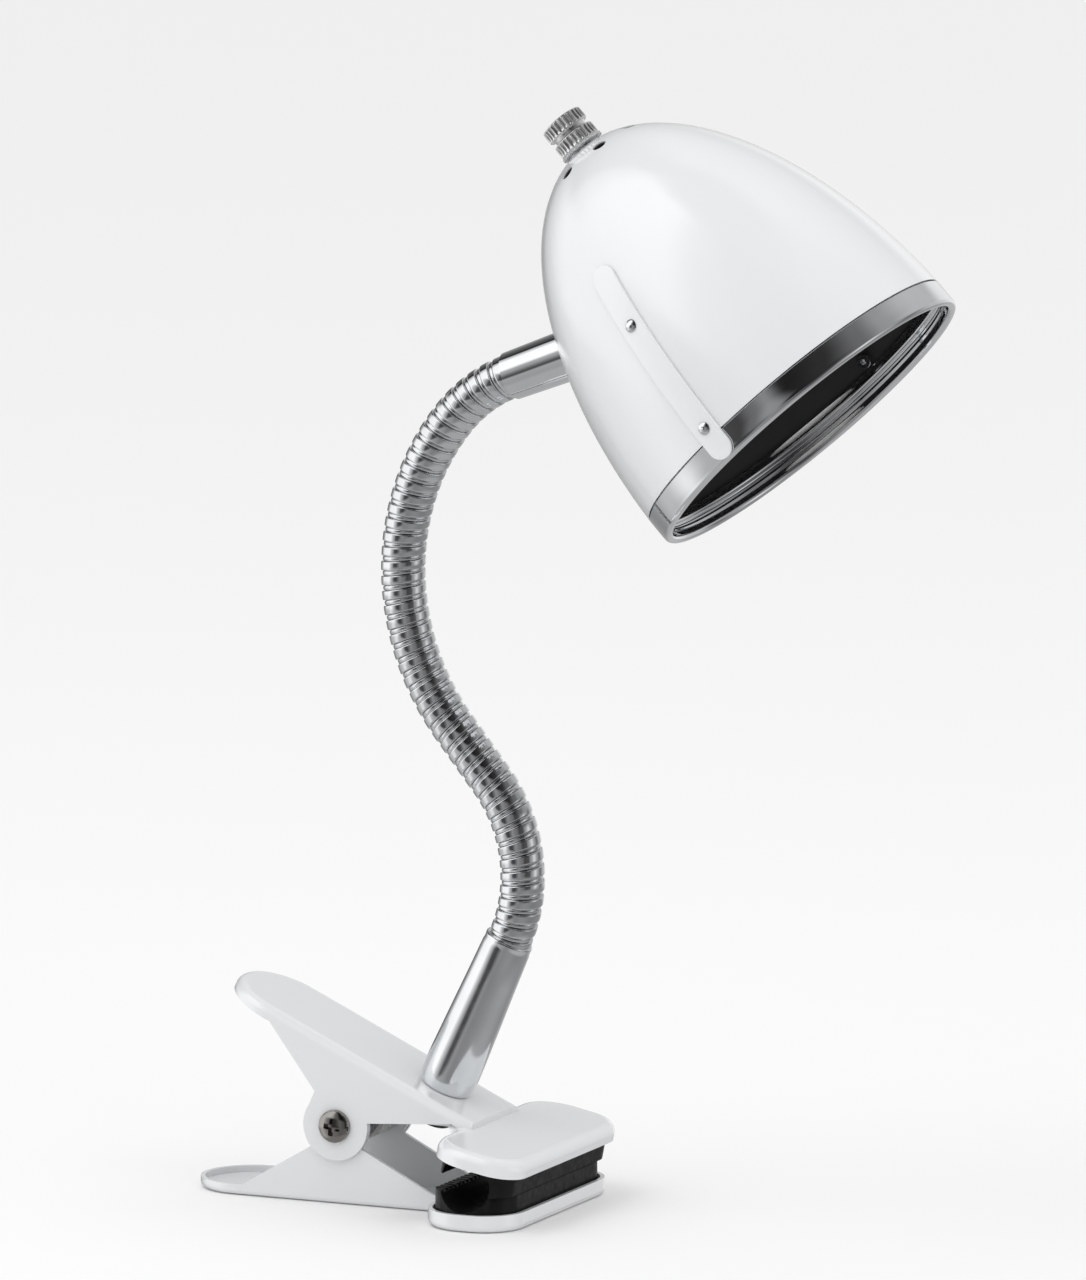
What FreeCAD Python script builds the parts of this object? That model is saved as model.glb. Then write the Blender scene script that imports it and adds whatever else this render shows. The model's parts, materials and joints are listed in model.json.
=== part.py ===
import FreeCAD, Part
import math
import os
from FreeCAD import Placement, Rotation, Vector

# Clip-on reading lamp: a sprung steel clamp, a flexible metal neck and a bullet shade.
# Millimetres. The origin is the centre of the lower jaw's foot, on the surface the lamp
# stands on. +X points out of the clamp's mouth, +Z is up, and the mid-plane is Y = 0.

# Clamp: one pivot, two pressed steel levers
SHEET = 1.2
PIVOT = Vector(-46.2, 0.0, 21.4)
UPPER_HALF = 15.3          # outer half-width of the upper channel
LOWER_HALF = 13.9          # outer half-width of the lower channel, which nests inside
UPPER_EAR_R = 9.4
LOWER_EAR_R = 9.2
LEVER_PITCH = 24.6         # the upper lever slopes down to the jaw
LEVER_RISE = 20.0          # from the pivot square up to the upper lever's outer face
HANDLE_RIM = 3.5
HANDLE_END = -30.8         # centre of the rounded handle end, along the lever
HEAD_PITCH = 11.0          # the upper jaw plate slopes down to its front edge
HEAD_ORIGIN = Vector(39.0, 0.0, 2.3)
HEAD_REAR = -2.9
HEAD_FRONT = 23.9
HEAD_DEPTH = 4.9
THROAT = 3.0               # concave corner between the lever's side and the jaw plate
JAW_HALF = 36.4
TRAY_REAR = 32.3
TRAY_FRONT = 60.1
TRAY_DEPTH = 4.6
LOWER_TIP = -45.4
SCREW_R = 2.5
SPRING_WIRE_R = 0.75
SPRING_COIL_R = 4.9        # to the wire's centre
SPRING_PITCH = 1.6
SPRING_TURNS = 6           # whole turns; the legs add the rest
SPRING_Y = 1.0             # where the first turn starts

# Pads: rubber, with a round channel for gripping a bar
PAD_INSET = 2.0
PARTING_Z = -12.4          # where the pads meet, from the pivot's height
GROOVE_X = 46.2
GROOVE_Z = -9.0
GROOVE_R = 7.8

# Neck
TUBE_S = 18.8              # where the base tube stands, along the lever
TUBE_LENGTH = 46.0
STEM_R = 5.0               # M10 threaded stem
HOSE_R = 6.0
HOSE_BORE_R = 3.6
CABLE_R = 2.3
NECK_ARCS = [              # radius (0 is straight), then turn in degrees or length
    (40.6, 63.7),
    (0.0, 17.5),
    (66.6, -78.4),
    (42.7, -28.4),
]
NECK_JOINTS = 6
JOINT_GAP = 1.2            # from a bending point to the end of the rigid length beside it

# Head: a half-ellipsoid shade, its mouth facing forwards and down
RIM_CENTRE = Vector(133.0, 0.0, 198.4)     # from the pivot
SHADE_PITCH = 43.9
SHADE_R = 50.0
SHADE_HEIGHT = 96.5
SHADE_WALL = 0.8
RING_HEIGHT = 7.6
STRAP_WIDTH = 7.2
STRAP_WALL = 0.9
STRAP_LOW = 0.8
STRAP_TURN = -2.3          # the straps sit just off the shade's sides
STRAP_HIGH = 63.5
RIVET_LEVELS = (10.6, 44.9)
VENT_COUNT = 8
VENT_LEVEL = 92.2
VENT_TURN = -6.0
VENT_R = 2.0
HOLDER_R = 13.4

X_AXIS = Vector(1, 0, 0)
Y_AXIS = Vector(0, 1, 0)
Z_AXIS = Vector(0, 0, 1)


def frame(origin, pitch):
    """A local frame turned nose-down about Y, at a point measured from the pivot."""
    return Placement(PIVOT + origin, Rotation(Y_AXIS, pitch))


LEVER = frame(Vector(0, 0, 0), LEVER_PITCH)
HEAD = frame(HEAD_ORIGIN, HEAD_PITCH)
CLAMP = frame(Vector(0, 0, 0), 0)
SHADE = frame(RIM_CENTRE, -SHADE_PITCH)


def placed(shape, placement):
    shape = shape.copy()
    shape.Placement = placement.multiply(shape.Placement)
    return shape


def cylinder(radius, low, high, x=0.0, y=0.0):
    return Part.makeCylinder(radius, high - low, Vector(x, y, low))


def ring(outer, inner, low, high):
    return cylinder(outer, low, high).cut(cylinder(inner, low - 1, high + 1))


def across(radius, low, high, x=0.0, z=0.0):
    """A cylinder along Y."""
    return Part.makeCylinder(radius, high - low, Vector(x, low, z), Y_AXIS)


def box(x0, x1, half_width, z0, z1):
    return Part.makeBox(x1 - x0, 2 * half_width, z1 - z0, Vector(x0, -half_width, z0))


def side_plate(points, half_width):
    """Points (x, z) of a side outline, spread across Y."""
    outline = Part.makePolygon([Vector(x, -half_width, z) for x, z in points + points[:1]])
    return Part.Face(outline).extrude(Vector(0, 2 * half_width, 0))


def turned(points):
    """Points (r, z) of a half section, revolved about Z."""
    outline = Part.makePolygon([Vector(r, 0, z) for r, z in points + points[:1]])
    return Part.Face(outline).revolve(Vector(), Z_AXIS, 360)


def rounded_plan(x0, x1, half_width, rear_r, front_r, z0, z1):
    """A slab whose plan is a rectangle with round corners."""
    slab = box(x0, x1, half_width, z0, z1)
    for x, radius in ((x0, rear_r), (x1, front_r)):
        edges = [e for e in slab.Edges
                 if abs(e.BoundBox.XMin - x) < 1e-6 and e.BoundBox.XLength < 1e-6
                 and e.BoundBox.ZLength > (z1 - z0) * 0.99 and e.BoundBox.YLength < 1e-6]
        slab = slab.makeFillet(radius, edges)
    return slab


def stadium(x_centre, radius, x_front, z0, z1):
    """A slab with a half-round rear end."""
    end = cylinder(radius, z0, z1, x_centre)
    return box(x_centre, x_front, radius, z0, z1).fuse(end).removeSplitter()


def edges_at(shape, z, tolerance=1e-4):
    return [e for e in shape.Edges
            if abs(e.BoundBox.ZMin - z) < tolerance and abs(e.BoundBox.ZMax - z) < tolerance]


def hexagon(across_flats, low, high, bore):
    corner = across_flats / math.sqrt(3)
    points = [Vector(corner * math.cos(math.radians(60 * i)),
                     corner * math.sin(math.radians(60 * i)), low) for i in range(7)]
    prism = Part.Face(Part.makePolygon(points)).extrude(Vector(0, 0, high - low))
    return prism.cut(cylinder(bore, low - 1, high + 1))


def knurled(radius, depth, teeth, low, high, bore):
    """A drum with straight knurling."""
    points = []
    for i in range(2 * teeth):
        r = radius if i % 2 else radius - depth
        angle = math.pi * i / teeth
        points.append(Vector(r * math.cos(angle), r * math.sin(angle), low))
    outline = Part.makePolygon(points + points[:1])
    drum = Part.Face(outline).extrude(Vector(0, 0, high - low))
    return drum.cut(cylinder(bore, low - 1, high + 1))


# ---------------------------------------------------------------- clamp

def jaw_plate(inset, low, high, top_r):
    """The jaw plate's plan with its throat, where it widens from the lever's width."""
    half = UPPER_HALF - inset
    rear = HEAD_REAR + inset
    plate = rounded_plan(rear, HEAD_FRONT - inset, JAW_HALF - inset,
                         12.0 - inset, 9.0 - inset, low, high)
    plate = plate.fuse(box(rear - 12.0, rear + 12.0, half, low, high)).removeSplitter()
    corners = [e for e in plate.Edges
               if abs(e.BoundBox.XMin - rear) < 1e-4 and e.BoundBox.XLength < 1e-4
               and e.BoundBox.YLength < 1e-4 and abs(abs(e.BoundBox.YMin) - half) < 1e-4]
    plate = plate.makeFillet(THROAT + inset, corners)
    return plate.makeFillet(top_r, edges_at(plate, high))


def upper_jaw():
    """Channel lever, ears and jaw plate, pressed from one sheet."""
    pitch = math.radians(LEVER_PITCH)

    def lever_top(x):
        return (LEVER_RISE - x * math.sin(pitch)) / math.cos(pitch)

    tip_x = -48.5 * math.cos(pitch) + LEVER_RISE * math.sin(pitch)
    rim = HANDLE_RIM / math.cos(pitch)
    outline = [
        (tip_x - 6, lever_top(tip_x - 6)), (40.0, lever_top(40.0)), (40.0, 0.5), (34.3, 3.2),
        (19.0, 2.1), (9.2, 1.4), (0.0, 0.0), (-9.1, 2.0), (-6.1, 9.1),
        (-19.4, lever_top(-19.4) - rim), (tip_x - 6, lever_top(tip_x - 6) - rim),
    ]
    lever = side_plate(outline, UPPER_HALF)
    lever = lever.fuse(across(UPPER_EAR_R, -UPPER_HALF, UPPER_HALF))
    lever = placed(lever.removeSplitter(), CLAMP)
    plan = stadium(HANDLE_END, UPPER_HALF, 70, -40, LEVER_RISE)
    plan = plan.makeFillet(2.4, [e for e in edges_at(plan, LEVER_RISE) if e.BoundBox.XMin < 69])
    lever = lever.common(placed(plan, LEVER))

    head = jaw_plate(0.0, -HEAD_DEPTH, 0.0, 3.0)
    hollow = jaw_plate(SHEET, -HEAD_DEPTH - 5, -SHEET, 1.8)
    under = side_plate([(10.0, 2.0), (27.0, 2.65), (33.0, 2.4), (36.6, -2.4), (36.6, -9.0),
                        (10.0, -9.0)], 60)
    head = placed(placed(head, HEAD).cut(placed(under, CLAMP)), HEAD.inverse())

    channel = stadium(HANDLE_END, UPPER_HALF - SHEET, 60, -60, LEVER_RISE - SHEET)
    channel = placed(channel, LEVER).common(placed(box(-90, 37.5, 40, -60, 60), CLAMP))

    jaw = lever.fuse(placed(head, HEAD)).cut(channel).cut(placed(hollow, HEAD))
    jaw = jaw.cut(placed(cylinder(STEM_R + 0.1, 0, 40, TUBE_S), LEVER))
    jaw = jaw.cut(placed(across(SCREW_R + 0.1, -20, 20), CLAMP))
    return jaw.removeSplitter()


def lower_jaw():
    """Channel lever, ears and the tray under the lower pad."""
    floor = -PIVOT.z
    outline = [
        (LOWER_TIP - 1, floor), (LOWER_TIP - 1, floor + 2.9), (-28.3, floor + 2.9),
        (-5.0, -4.6), (0.0, 0.0), (4.8, -4.9), (27.9, floor + TRAY_DEPTH),
        (TRAY_REAR + 2, floor + TRAY_DEPTH), (TRAY_REAR + 2, floor),
    ]
    lever = side_plate(outline, LOWER_HALF).fuse(across(LOWER_EAR_R, -LOWER_HALF, LOWER_HALF))
    plan = stadium(LOWER_TIP + LOWER_HALF, LOWER_HALF, 60, floor, 20)
    plan = plan.makeFillet(1.6, [e for e in edges_at(plan, floor) if e.BoundBox.XMin < 59])
    lever = lever.removeSplitter().common(plan)

    tray = rounded_plan(TRAY_REAR, TRAY_FRONT, JAW_HALF, 13.0, 12.0, floor, floor + TRAY_DEPTH)
    tray = tray.makeFillet(1.6, edges_at(tray, floor))
    hollow = rounded_plan(TRAY_REAR + SHEET, TRAY_FRONT - SHEET, JAW_HALF - SHEET,
                          13.0 - SHEET, 12.0 - SHEET, floor + SHEET, floor + 20)
    channel = stadium(LOWER_TIP + LOWER_HALF, LOWER_HALF - SHEET, TRAY_REAR + 4,
                      floor + SHEET, 30)
    jaw = lever.fuse(tray).cut(channel).cut(hollow)
    jaw = jaw.cut(across(SCREW_R + 0.1, -20, 20))
    return placed(jaw.removeSplitter(), CLAMP)


def upper_pad():
    """Rubber pad held in the upper jaw plate, arched over the round channel."""
    inset = PAD_INSET
    block = rounded_plan(HEAD_REAR + inset, HEAD_FRONT - inset, JAW_HALF - inset,
                         12.0 - inset, 9.0 - inset, -20, -SHEET - 0.05)
    block = block.makeFillet(1.7, edges_at(block, -SHEET - 0.05))
    block = placed(block, HEAD)
    keep = placed(box(-10, 90, 60, PARTING_Z + 0.3, 20), CLAMP)
    rear_gap = placed(box(0, GROOVE_X - 6.5, 60, -40, -7.0), CLAMP)
    groove = placed(across(GROOVE_R, -50, 50, GROOVE_X, GROOVE_Z), CLAMP)
    return block.common(keep).cut(rear_gap).cut(groove).removeSplitter()


def lower_pad():
    """Rubber pad in the tray, with the lower half of the channel and a ribbed rear ridge."""
    inset = PAD_INSET
    low = -PIVOT.z + SHEET + 0.05
    ridge_top = PARTING_Z + 1.0
    block = rounded_plan(TRAY_REAR + inset, TRAY_FRONT - inset, JAW_HALF - inset,
                         13.0 - inset, 12.0 - inset, low, ridge_top)
    block = block.cut(box(GROOVE_X - 2, 90, 60, PARTING_Z, 20))
    block = block.cut(across(GROOVE_R, -50, 50, GROOVE_X, GROOVE_Z))
    block = block.cut(box(0, 35.5, 60, low + 3.5, 20))
    for i in range(-11, 12):
        block = block.cut(Part.makeBox(8, 1.1, 2, Vector(33, 2.6 * i - 0.55, ridge_top - 0.7)))
    return placed(block.removeSplitter(), CLAMP)


def pivot_screw():
    """Pan-head screw with a cross recess, through all four ears."""
    y0 = -UPPER_HALF
    shank = across(SCREW_R, y0, 21.0)
    head = across(4.5, y0 - 2.6, y0)
    rim = [e for e in head.Edges if abs(e.BoundBox.YMax - (y0 - 2.6)) < 1e-4]
    head = head.makeFillet(1.6, rim)
    for pitch in (8, 98):
        slot = Part.makeBox(4.6, 1.6, 0.9, Vector(-2.3, y0 - 2.6, -0.45))
        slot.rotate(Vector(), Y_AXIS, pitch)
        head = head.cut(slot)
    return placed(shank.fuse(head).removeSplitter(), CLAMP)


def pivot_nut():
    nut = hexagon(8.0, UPPER_HALF + 0.05, UPPER_HALF + 4.0, SCREW_R)
    return placed(nut, Placement(PIVOT, Rotation(X_AXIS, -90)))


def pivot_bush():
    """Sleeve that keeps the ears apart and carries the spring."""
    half = LOWER_HALF - SHEET - 0.1
    return placed(across(3.6, -half, half).cut(across(SCREW_R + 0.05, -20, 20)), CLAMP)


def spring_drum():
    """White collar that fills the bush beside the spring."""
    return placed(across(6.6, 2.2, 11.4).cut(across(3.7, 0, 20)), CLAMP)


def clamp_spring():
    """Torsion spring: coils round the bush, one leg under each handle."""
    lean = math.radians(LEVER_PITCH)
    under = LEVER_RISE - SHEET - SPRING_WIRE_R - 0.1
    rear = -30.0
    lower = Vector(-25.0, 0, -PIVOT.z + SHEET + SPRING_WIRE_R + 0.1)
    upper = Vector(rear * math.cos(lean) + under * math.sin(lean), 0,
                   under * math.cos(lean) - rear * math.sin(lean))
    begin = math.atan2(lower.z, lower.x) + math.acos(SPRING_COIL_R / lower.Length)
    finish = math.atan2(upper.z, upper.x) - math.acos(SPRING_COIL_R / upper.Length)
    turns = SPRING_TURNS + ((finish - begin) / (2 * math.pi)) % 1

    helix = Part.makeHelix(SPRING_PITCH, SPRING_PITCH * turns, SPRING_COIL_R)
    start = Vector(SPRING_COIL_R, 0, 0)
    rise = Vector(0, 2 * math.pi * SPRING_COIL_R, SPRING_PITCH)
    profile = Part.Wire(Part.makeCircle(SPRING_WIRE_R, start, rise))
    coil = Part.Wire(helix.Edges).makePipeShell([profile], True, True)
    stand = Rotation(Y_AXIS, -math.degrees(begin)).multiply(Rotation(X_AXIS, 90))
    coil = placed(coil, Placement(Vector(0, SPRING_Y, 0), stand))

    pieces = []
    for angle, end, y in ((begin, lower, SPRING_Y),
                          (finish, upper, SPRING_Y - SPRING_PITCH * turns)):
        root = Vector(SPRING_COIL_R * math.cos(angle), y, SPRING_COIL_R * math.sin(angle))
        tip = Vector(end.x, y, end.z)
        pieces.append(Part.makeCylinder(SPRING_WIRE_R, (tip - root).Length, root, tip - root))
        pieces.append(Part.makeSphere(SPRING_WIRE_R, root))
    return placed(coil.fuse(pieces).removeSplitter(), CLAMP)


# ---------------------------------------------------------------- neck

def base_tube():
    """Tapered chrome tube standing square on the lever, with an M10 stem below."""
    low = LEVER_RISE
    high = low + TUBE_LENGTH
    outer = [(HOSE_BORE_R, low - 9.0), (STEM_R, low - 9.0), (STEM_R, low), (6.2, low)]
    for i in range(1, 7):
        angle = math.radians(15 * i)
        outer.append((6.2 + 1.55 * math.sin(angle), low + 5.0 * (1 - math.cos(angle))))
    outer += [(6.6, high - 0.5), (6.3, high), (HOSE_BORE_R, high)]
    return placed(placed(turned(outer), Placement(Vector(TUBE_S, 0, 0), Rotation())), LEVER)


def at_stem(shape):
    return placed(placed(shape, Placement(Vector(TUBE_S, 0, 0), Rotation())), LEVER)


def base_washer():
    return at_stem(ring(7.6, STEM_R, LEVER_RISE - SHEET - 0.8, LEVER_RISE - SHEET))


def base_nut():
    top = LEVER_RISE - SHEET - 0.8
    return at_stem(hexagon(13.0, top - 3.4, top, STEM_R))


def cord_gland():
    """Black bush with a rounded mouth on the end of the stem."""
    top = LEVER_RISE - SHEET - 4.2
    gland = cylinder(6.2, top - 5.2, top)
    gland = gland.makeFillet(2.2, edges_at(gland, top - 5.2))
    return at_stem(gland.cut(cylinder(STEM_R, top - 3.6, top + 1))
                   .cut(cylinder(CABLE_R + 0.1, top - 9, top + 1)))


def neck_path():
    """The neck's arcs from the top of the base tube, as (start, heading, radius, amount)."""
    up = LEVER.Rotation.multVec(Z_AXIS)
    foot = LEVER.multVec(Vector(TUBE_S, 0, LEVER_RISE))
    point = foot + up * TUBE_LENGTH
    heading = math.radians(90 - LEVER_PITCH)
    runs = []
    for radius, amount in NECK_ARCS:
        runs.append((point, heading, radius, amount))
        length = abs(math.radians(amount)) * radius if radius else amount
        point, heading = along_run(runs[-1], length)
    return runs, point, heading


def along_run(run, distance):
    point, heading, radius, amount = run
    if not radius:
        return point + Vector(math.cos(heading), 0, math.sin(heading)) * distance, heading
    side = 1 if amount > 0 else -1
    centre = point + Vector(-math.sin(heading), 0, math.cos(heading)) * (side * radius)
    turn = heading + side * distance / radius
    out = Vector(math.sin(turn), 0, -math.cos(turn)) * (side * radius)
    return centre + out, turn


def run_length(run):
    return abs(math.radians(run[3])) * run[2] if run[2] else run[3]


NECK_RUNS, NECK_END, NECK_END_HEADING = neck_path()
NECK_LENGTH = sum(run_length(run) for run in NECK_RUNS)
HOSE_STEP = NECK_LENGTH / NECK_JOINTS


def at_neck(distance):
    for run in NECK_RUNS:
        length = run_length(run)
        if distance <= length + 1e-9:
            return along_run(run, distance)
        distance -= length
    return NECK_END + Vector(math.cos(NECK_END_HEADING), 0,
                             math.sin(NECK_END_HEADING)) * distance, NECK_END_HEADING


def neck_wire(low, high):
    """The neck's centre line between two distances along it."""
    edges = []
    start = 0.0
    for run in NECK_RUNS:
        a = max(low, start)
        b = min(high, start + run_length(run))
        if b - a > 0.01:
            p, q = along_run(run, a - start)[0], along_run(run, b - start)[0]
            if run[2]:
                middle = along_run(run, (a + b) / 2 - start)[0]
                edges.append(Part.Arc(p, middle, q).toShape())
            else:
                edges.append(Part.makeLine(p, q))
        start += run_length(run)
    return Part.Wire(edges)


def sweep(radius, low, high):
    path = neck_wire(low, high)
    point, heading = at_neck(low)
    normal = Vector(math.cos(heading), 0, math.sin(heading))
    profile = Part.Wire(Part.makeCircle(radius, point, normal))
    return path.makePipeShell([profile], True, False)


def neck_span(index, gap):
    """One rigid length, from bending point to bending point less the gap at each."""
    low = 0.0 if index == 0 else (index - 0.5) * HOSE_STEP + gap
    high = NECK_LENGTH if index == NECK_JOINTS else (index + 0.5) * HOSE_STEP - gap
    return low, high


def hose(index):
    low, high = neck_span(index, JOINT_GAP)
    return sweep(HOSE_R, low, high).cut(sweep(HOSE_BORE_R, low, high))


def cable(index):
    low, high = neck_span(index, JOINT_GAP / 2)
    piece = sweep(CABLE_R, low, high)
    if index == 0:
        foot = LEVER.multVec(Vector(TUBE_S, 0, LEVER_RISE - SHEET - 9.4))
        up = LEVER.Rotation.multVec(Z_AXIS)
        drop = Part.makeCylinder(CABLE_R, (at_neck(0)[0] - foot).Length, foot, up)
        piece = piece.fuse(drop)
    if index == NECK_JOINTS:
        way = Vector(math.cos(NECK_END_HEADING), 0, math.sin(NECK_END_HEADING))
        piece = piece.fuse(Part.makeCylinder(CABLE_R, 31.0, NECK_END, way))
    return piece.removeSplitter()


# ---------------------------------------------------------------- head

def ellipsoid_section(shrink, low, hole_r):
    """The edge of a half section of the shade, drawn in from the outer face by shrink."""
    height = SHADE_HEIGHT - shrink
    radius = SHADE_R - shrink
    curve = Part.Ellipse(Vector(0, 0, height), Vector(radius, 0, 0), Vector())
    return Part.Arc(curve, math.asin(hole_r / radius), math.acos(low / height)).toShape()


def shell(shrink, wall, low, hole_r):
    outer = ellipsoid_section(shrink, low, hole_r)
    inner = ellipsoid_section(shrink + wall, low, hole_r)
    caps = [Part.makeLine(a.Point, b.Point) for a, b in zip(outer.Vertexes, inner.Vertexes)]
    face = Part.Face(Part.Wire([outer, caps[0], inner, caps[1]]))
    return face.revolve(Vector(), Z_AXIS, 360)


def shade_radius(level, shrink=0.0):
    return (SHADE_R - shrink) * math.sqrt(1 - (level / (SHADE_HEIGHT - shrink)) ** 2)


def normal_at(level):
    """Outward direction (r, z) of the shade's outer face at a level."""
    r = shade_radius(level)
    n = Vector(r / SHADE_R ** 2, 0, level / SHADE_HEIGHT ** 2)
    return n.normalize()


def rivet_places():
    for side in (-90, 90):
        for level in RIVET_LEVELS:
            n = normal_at(level)
            point = Vector(shade_radius(level), 0, level)
            turn = Placement(Vector(), Rotation(Z_AXIS, side + STRAP_TURN))
            lie = Placement(point, Rotation(Z_AXIS, n))
            yield turn.multiply(lie)


def rivet_holes(shape):
    for place in rivet_places():
        shape = shape.cut(placed(cylinder(1.25, -8, 8), place))
    return shape


def shade():
    body = shell(0.0, SHADE_WALL, RING_HEIGHT + 0.3, STEM_R + 0.1)
    n = normal_at(VENT_LEVEL)
    point = Vector(shade_radius(VENT_LEVEL), 0, VENT_LEVEL)
    for i in range(VENT_COUNT):
        hole = placed(cylinder(VENT_R, -6, 6), Placement(point, Rotation(Z_AXIS, n)))
        hole.rotate(Vector(), Z_AXIS, 360 * i / VENT_COUNT + VENT_TURN)
        body = body.cut(hole)
    body = rivet_holes(body)
    body = placed(body, SHADE)
    return body.cut(along_head_tube(STEM_R + 0.1, 0, 60))


def along_head_tube(radius, low, high, end_radius=None):
    """A rod or cone on the head tube's axis, from the end of the neck."""
    way = Vector(math.cos(NECK_END_HEADING), 0, math.sin(NECK_END_HEADING))
    start = NECK_END + way * low
    if end_radius is None:
        return Part.makeCylinder(radius, high - low, start, way)
    return Part.makeCone(radius, end_radius, high - low, start, way)


def shade_solid(shrink):
    outer = ellipsoid_section(shrink, 0.0, 0.001)
    axis = Part.makeLine(outer.Vertexes[0].Point, Vector())
    base = Part.makeLine(Vector(), outer.Vertexes[1].Point)
    face = Part.Face(Part.Wire([outer, axis, base]))
    return placed(face.revolve(Vector(), Z_AXIS, 360), SHADE)


ENTRY_DISTANCE = 20.35     # along the head tube, to the shade's wall
STEM_END = ENTRY_DISTANCE + 9.5


def head_tube():
    """Flared chrome tube from the hose to the shade, with an M10 stem inside the shade."""
    tube = along_head_tube(6.55, 0, ENTRY_DISTANCE + 8, 7.15).cut(shade_solid(-0.05))
    stem = along_head_tube(STEM_R, ENTRY_DISTANCE - 8, STEM_END)
    return tube.fuse(stem).cut(along_head_tube(HOSE_BORE_R, -1, 60)).removeSplitter()


def on_head_tube(shape, distance):
    way = Vector(math.cos(NECK_END_HEADING), 0, math.sin(NECK_END_HEADING))
    turn = Rotation(Y_AXIS, 90 - math.degrees(NECK_END_HEADING))
    return placed(shape, Placement(NECK_END + way * distance, turn))


BRACKET_AT = ENTRY_DISTANCE + 4.2


def tube_nut():
    return on_head_tube(hexagon(13.0, 1.55, 4.95, STEM_R), BRACKET_AT)


def head_bracket():
    """Folded steel strip from the tube's stem to the threaded nipple at the apex."""
    half = 7.5
    wall = 1.5
    foot = on_head_tube(box(-9.0, 9.0, half, 0, wall), BRACKET_AT)
    foot = foot.cut(along_head_tube(STEM_R, 0, 60))
    local = SHADE.inverse().multVec(
        on_head_tube(Part.Vertex(Vector(-9.0, 0, wall / 2)), BRACKET_AT).Point)
    knee = Vector(local.x, 0, local.z)
    apex = Vector(-9.0, 0, 89.5)
    run = apex - knee
    strip = box(0, run.Length, half, -wall / 2, wall / 2)
    strip = placed(strip, Placement(knee, Rotation(X_AXIS, run)))
    elbow = across(wall / 2, -half, half, knee.x, knee.z)
    corner = across(wall / 2, -half, half, apex.x, apex.z)
    top = box(-9.0, 7.5, half, 89.5 - wall / 2, 89.5 + wall / 2)
    top = top.cut(cylinder(STEM_R, 80, 100))
    upper = placed(strip.fuse([elbow, corner]).cut(box(-8.99, 20, 8, 85, 88.7)).fuse(top), SHADE)
    return foot.fuse(upper).removeSplitter()


def rim_ring():
    """Rolled chrome ring round the mouth, with a collar that enters the shade."""
    outer = shade_radius(RING_HEIGHT)
    lip = 1.3
    points = [(outer, RING_HEIGHT), (outer, lip)]
    for i in range(1, 13):
        angle = math.radians(15 * i)
        points.append((outer - lip + lip * math.cos(angle), lip - lip * math.sin(angle)))
    inner = outer - 2 * lip
    points += [(inner, lip + 0.9), (outer - 1.0, lip + 1.9), (outer - 1.0, RING_HEIGHT - 1.6),
               (outer - 1.8, RING_HEIGHT - 1.0), (outer - 1.8, RING_HEIGHT + 5.4),
               (outer - 1.15, RING_HEIGHT + 5.4), (outer - 1.15, RING_HEIGHT)]
    return placed(rivet_holes(turned(points)), SHADE)


def strap(side):
    """Flat steel strap down the side of the shade, from the shoulder to the ring."""
    band = shell(-STRAP_WALL - 0.05, STRAP_WALL, 0.01, 20)
    radius = STRAP_WIDTH / 2
    outline = box(-radius, radius, 60, STRAP_LOW + radius, STRAP_HIGH - radius)
    outline = outline.fuse([across(radius, -60, 60, 0, STRAP_LOW + radius),
                            across(radius, -60, 60, 0, STRAP_HIGH - radius)])
    half = Part.makeBox(120, 60, 120, Vector(-60, 0 if side > 0 else -60, -5))
    strip = band.common(outline.removeSplitter().common(half))
    strip.rotate(Vector(), Z_AXIS, STRAP_TURN)
    return placed(rivet_holes(strip), SHADE)


def shade_rivets():
    """Four domed blind rivets, each with the hollow tail it leaves inside."""
    sit = STRAP_WALL + 0.05
    head = Part.makeSphere(2.4, Vector(0, 0, sit + 1.0 - 2.4))
    head = head.common(cylinder(1.8, sit, sit + 3))
    rivets = []
    for i, place in enumerate(rivet_places()):
        tail_at = -1.95 if i % 2 == 0 else -SHADE_WALL - 0.05
        shank = cylinder(1.25, tail_at - 1.2, sit)
        tail = cylinder(1.9, tail_at - 1.6, tail_at)
        rivet = head.fuse([shank, tail]).cut(cylinder(0.8, tail_at - 3, tail_at - 0.2))
        rivets.append(placed(placed(rivet.removeSplitter(), place), SHADE))
    return Part.makeCompound(rivets)


def apex_washer():
    return placed(ring(6.4, STEM_R, SHADE_HEIGHT + 0.1, SHADE_HEIGHT + 1.0), SHADE)


def ring_nut():
    """Knurled nut that clamps the shade on the nipple."""
    low = SHADE_HEIGHT + 1.0
    drum = knurled(5.95, 0.35, 26, low, low + 3.6, STEM_R)
    return placed(drum, SHADE)


def switch_knob():
    """Double knob: a plain waist under a knurled drum, fixed on the switch's shaft."""
    low = SHADE_HEIGHT + 4.8
    waist = cylinder(4.9, low, low + 1.4)
    drum = knurled(6.1, 0.35, 26, low + 1.3, low + 4.7, 1.0)
    cap = Part.makeCone(5.6, 4.9, 0.5, Vector(0, 0, low + 4.7))
    knob = waist.fuse([drum, cap]).cut(cylinder(2.0, low - 1, low + 3.5))
    return placed(knob.removeSplitter(), SHADE)


def switch_shaft():
    return placed(cylinder(2.0, 78.5, SHADE_HEIGHT + 8.2), SHADE)


def nipple():
    """M10 threaded tube through the bracket, the shade and the ring nut."""
    return placed(ring(STEM_R, 2.05, 82.5, SHADE_HEIGHT + 4.6), SHADE)


def lock_nut():
    return placed(hexagon(13.0, 85.5, 88.7, STEM_R), SHADE)


def switch_body():
    """Rotary switch on top of the lampholder."""
    body = cylinder(10.0, 75.0, 82.5).fuse(cylinder(7.0, 82.5, 85.4))
    return placed(body.cut(cylinder(2.05, 78.3, 90)).cut(cylinder(STEM_R, 82.5, 90)), SHADE)


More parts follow.
